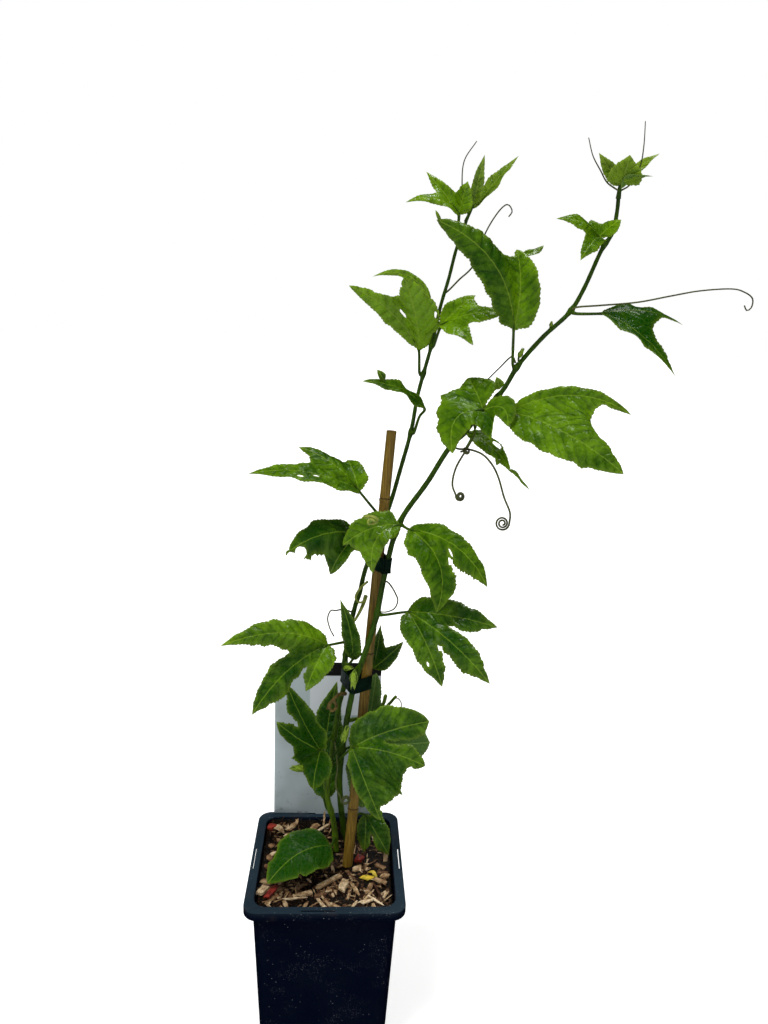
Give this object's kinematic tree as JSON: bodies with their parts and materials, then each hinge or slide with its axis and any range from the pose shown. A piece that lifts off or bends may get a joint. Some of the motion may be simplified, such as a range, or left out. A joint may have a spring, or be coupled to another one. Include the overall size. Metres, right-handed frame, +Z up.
{
  "type": "potted passion fruit vine",
  "caption": "Young climbing vine with lobed leaves and tendrils, tied to a bamboo cane in a square nursery pot of bark mix with a plain label card.",
  "frame": {"origin": "middle of the pot's base, on the surface that the pot stands on", "axes": "+Z up along the cane, +X to the right in the front view, +Y away from the viewer, to the label"},
  "size_m": [0.3675, 0.125, 0.7211],
  "materials": {
    "pot_plastic": "satin dark blue-grey plastic",
    "potting_mix": "matt brown bark and wood chips",
    "bamboo": "satin tan cane",
    "tie_tape": "thin dark green tape",
    "label_card": "pale card with a black band",
    "stem_green": "smooth green bark",
    "leaf_green": "glossy green leaf",
    "young_leaf": "soft light green leaf"
  },
  "bodies": {
    "root": {"bamboo_cane": "bamboo", "crown_left_leaf": "leaf_green", "crown_left_pair": "young_leaf", "crown_right": "young_leaf", "leaf_behind_low": "leaf_green", "leaf_behind_stake": "leaf_green", "leaf_bright_low": "leaf_green", "leaf_centre_fold": "leaf_green", "leaf_centre_hang": "leaf_green", "leaf_dark_low": "leaf_green", "leaf_fork_right": "leaf_green", "leaf_left_dark": "leaf_green", "leaf_left_fork": "leaf_green", "leaf_left_high": "leaf_green", "leaf_left_mid": "leaf_green", "leaf_narrow_mid": "leaf_green", "leaf_over_tie": "leaf_green", "leaf_right_droop": "leaf_green", "leaf_right_large": "leaf_green", "leaf_right_mid": "leaf_green", "leaf_right_tendril": "leaf_green", "leaf_side_on": "leaf_green", "leaf_soil_left": "leaf_green", "leaf_soil_right": "leaf_green", "leaf_top_small": "leaf_green", "leaf_top_twist": "leaf_green", "leaf_upright_low": "leaf_green", "lower_tie": "tie_tape", "main_stem_left": "stem_green", "main_stem_right": "stem_green", "plant_label": "label_card", "pot": "pot_plastic", "soil": "potting_mix", "upper_tie": "tie_tape"}
  },
  "joints": []
}
